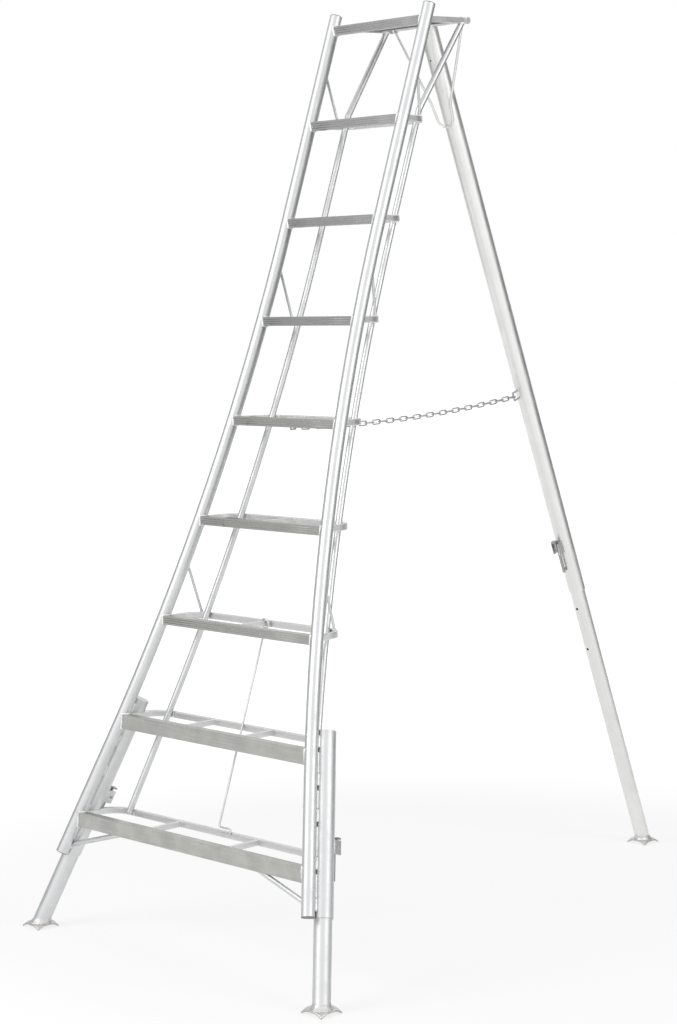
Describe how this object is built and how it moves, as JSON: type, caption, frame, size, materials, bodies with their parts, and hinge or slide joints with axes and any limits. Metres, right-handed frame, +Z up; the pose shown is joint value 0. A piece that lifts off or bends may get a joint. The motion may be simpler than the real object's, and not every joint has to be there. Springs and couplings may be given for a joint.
{
  "type": "tripod orchard ladder",
  "caption": "Three-legged aluminium picking ladder with bell-bottomed stiles, open hoop treads, a small platform, sliding latched legs and a chain-stopped folding pole.",
  "frame": {"origin": "on the ground, midway between the two front feet and the rear foot from front to back, and midway between the stiles", "axes": "+Z up, +X to the right as the climber faces the treads, +Y from the climbing side towards the rear pole"},
  "size_m": [1.3122, 2.2954, 2.8062],
  "materials": {
    "aluminium": "bare mill tube, satin, with light drawing marks",
    "front_bar_aluminium": "bare extruded bar, duller grey",
    "galvanised_steel": "galvanised, matt",
    "plug": "grey moulded plastic"
  },
  "bodies": {
    "ladder_frame": {"left_stile": "aluminium", "right_stile": "aluminium", "stile_plugs": "plug", "platform_bar": "front_bar_aluminium", "platform_deck": "front_bar_aluminium", "platform_rails": "aluminium", "hinge_rod": "galvanised_steel", "tread_1_bar": "front_bar_aluminium", "tread_2_bar": "front_bar_aluminium", "tread_3_bar": "front_bar_aluminium", "tread_4_bar": "front_bar_aluminium", "tread_5_bar": "front_bar_aluminium", "tread_6_bar": "front_bar_aluminium", "tread_7_bar": "front_bar_aluminium", "tread_8_bar": "front_bar_aluminium", "tread_1_hoop": "aluminium", "tread_2_hoop": "aluminium", "tread_3_hoop": "aluminium", "tread_4_hoop": "aluminium", "tread_5_hoop": "aluminium", "tread_6_hoop": "aluminium", "tread_7_hoop": "aluminium", "tread_8_hoop": "aluminium", "tread_4_tie": "aluminium", "tread_5_tie": "aluminium", "tread_6_tie": "aluminium", "tread_7_ties": "aluminium", "tread_8_ties": "aluminium", "left_stringer": "aluminium", "right_stringer": "aluminium", "left_braces": "aluminium", "right_braces": "aluminium", "left_strut": "aluminium", "right_strut": "aluminium", "left_sleeve": "aluminium", "right_sleeve": "aluminium", "left_lock_bracket": "galvanised_steel", "right_lock_bracket": "galvanised_steel", "left_latch_spring": "galvanised_steel", "right_latch_spring": "galvanised_steel", "chain_anchor": "galvanised_steel", "chain": "galvanised_steel"},
    "pole": {"pole_tube": "aluminium", "pole_stay": "aluminium", "pole_staple": "galvanised_steel", "pole_lock_bracket": "galvanised_steel", "pole_latch_spring": "galvanised_steel"},
    "pole_leg": {"pole_inner": "aluminium", "pole_foot": "aluminium"},
    "left_leg": {"left_leg": "aluminium", "left_foot": "aluminium"},
    "right_leg": {"right_leg": "aluminium", "right_foot": "aluminium"},
    "left_latch": {"left_latch": "aluminium"},
    "right_latch": {"right_latch": "aluminium"},
    "pole_latch": {"pole_latch": "aluminium"},
    "pole_hook": {"pole_hook": "aluminium"}
  },
  "joints": [
    {"name": "pole_fold", "type": "hinge", "parent": "ladder_frame", "child": "pole", "pos_m": [0, -0.0384, 2.77416], "axis": [-1, 0, 0], "range_deg": [0, 40], "deforming": ["chain"]},
    {"name": "pole_extend", "type": "slide", "parent": "pole", "child": "pole_leg", "axis": [0, 0.3838, -0.9234], "range_m": [-0.31, 0.31]},
    {"name": "left_leg_extend", "type": "slide", "parent": "ladder_frame", "child": "left_leg", "axis": [-0.2798, -0.2991, -0.9123], "range_m": [-0.15, 0.15]},
    {"name": "right_leg_extend", "type": "slide", "parent": "ladder_frame", "child": "right_leg", "axis": [0.2798, -0.2991, -0.9123], "range_m": [-0.15, 0.15]},
    {"name": "left_latch_lift", "type": "hinge", "parent": "ladder_frame", "child": "left_latch", "pos_m": [-0.49458, -0.93645, 0.4002], "axis": [0.96, -0.0872, -0.2659], "range_deg": [0, 15], "stiffness_Nm_per_rad": 0.6, "springref_deg": -11.46},
    {"name": "right_latch_lift", "type": "hinge", "parent": "ladder_frame", "child": "right_latch", "pos_m": [0.49458, -0.93645, 0.4002], "axis": [0.96, 0.0872, 0.2659], "range_deg": [0, 15], "stiffness_Nm_per_rad": 0.6, "springref_deg": -11.46},
    {"name": "pole_latch_lift", "type": "hinge", "parent": "pole", "child": "pole_latch", "pos_m": [0, 0.61383, 1.09163], "axis": [-1, 0, 0], "range_deg": [0, 15], "stiffness_Nm_per_rad": 0.6, "springref_deg": -11.46},
    {"name": "hook_swing", "type": "hinge", "parent": "ladder_frame", "child": "pole_hook", "pos_m": [0, -0.73767, 0.96038], "axis": [0, 0.9998, 0.0175], "range_deg": [-8, 8]}
  ]
}
